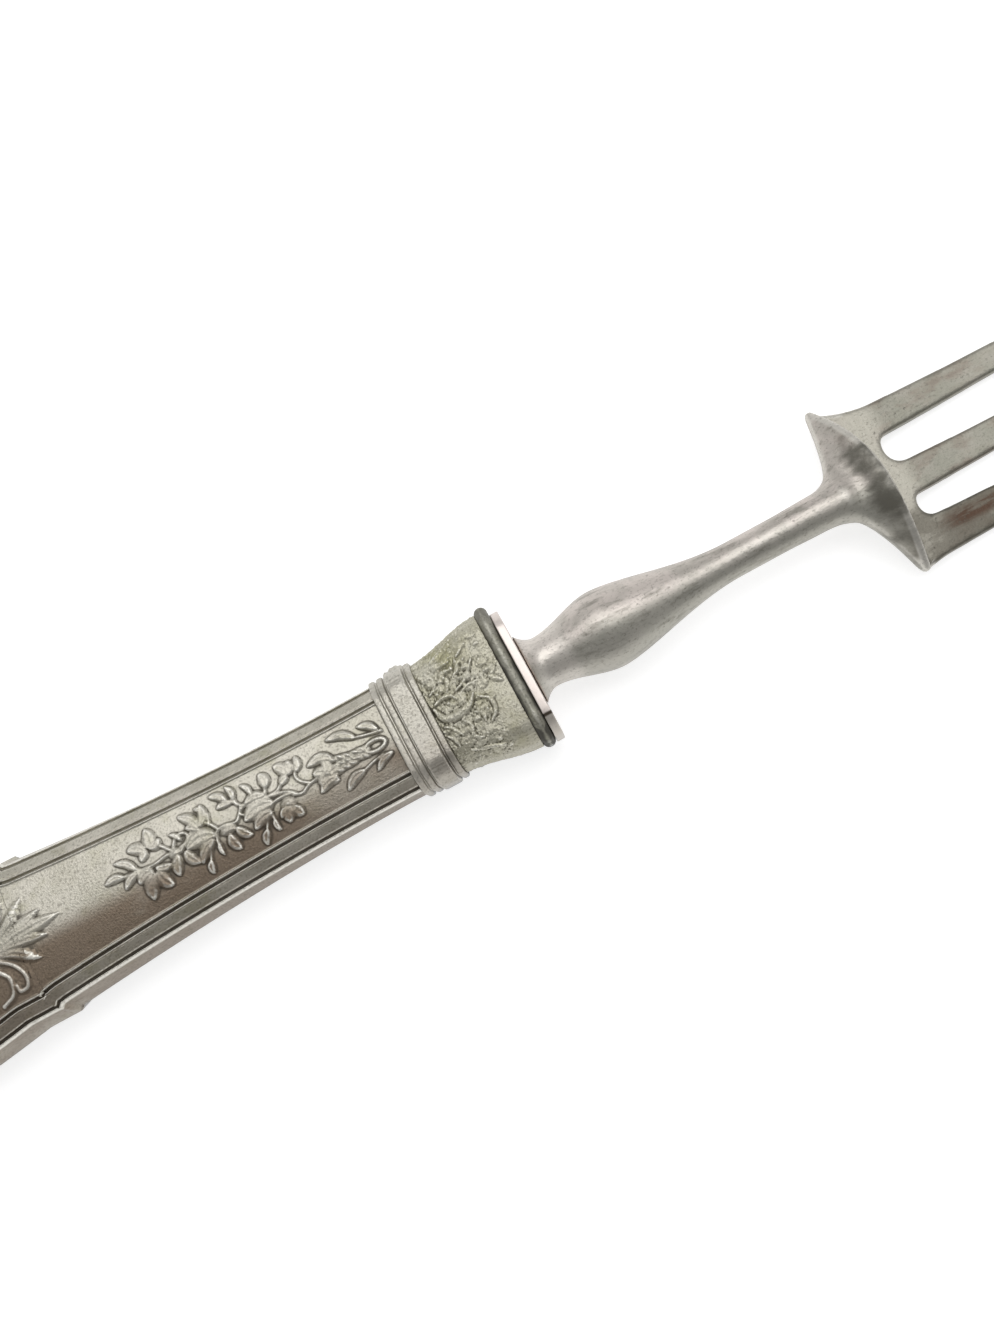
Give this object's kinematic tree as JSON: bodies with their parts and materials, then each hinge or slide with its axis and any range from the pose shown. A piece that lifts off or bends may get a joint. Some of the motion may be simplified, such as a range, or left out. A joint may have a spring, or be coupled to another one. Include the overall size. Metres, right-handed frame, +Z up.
{
  "type": "roasting fork",
  "caption": "Long kitchen fork with slim, slightly curved tines, a turned steel shank and a filled handle of stamped silver sheet with framed panels and a flared collar.",
  "frame": {"origin": "on the table, under the middle of the fork's box as it lies on its back", "axes": "+X along the fork from the pommel to the tine tips, +Z up, out of the decorated front, +Y towards the left tine"},
  "size_m": [0.2592, 0.028, 0.0144],
  "materials": {
    "handle_silver": "worn satin silver, darkened in the recesses",
    "collar_silver": "worn silver with a yellow-green tarnish",
    "lip_silver": "dark worn silver",
    "fork_steel": "old polished steel, dulled and lightly pitted",
    "tang_steel": "forged, black",
    "handle_cement": "matte resin cement"
  },
  "bodies": {
    "root": {"handle_front_shell": "handle_silver", "handle_back_shell": "handle_silver", "ring_band": "handle_silver", "collar_front_shell": "collar_silver", "collar_back_shell": "collar_silver", "mouth_lip": "lip_silver", "bolster_plate": "fork_steel", "fork_iron": "fork_steel", "tang": "tang_steel", "cement_filling": "handle_cement"}
  },
  "joints": []
}
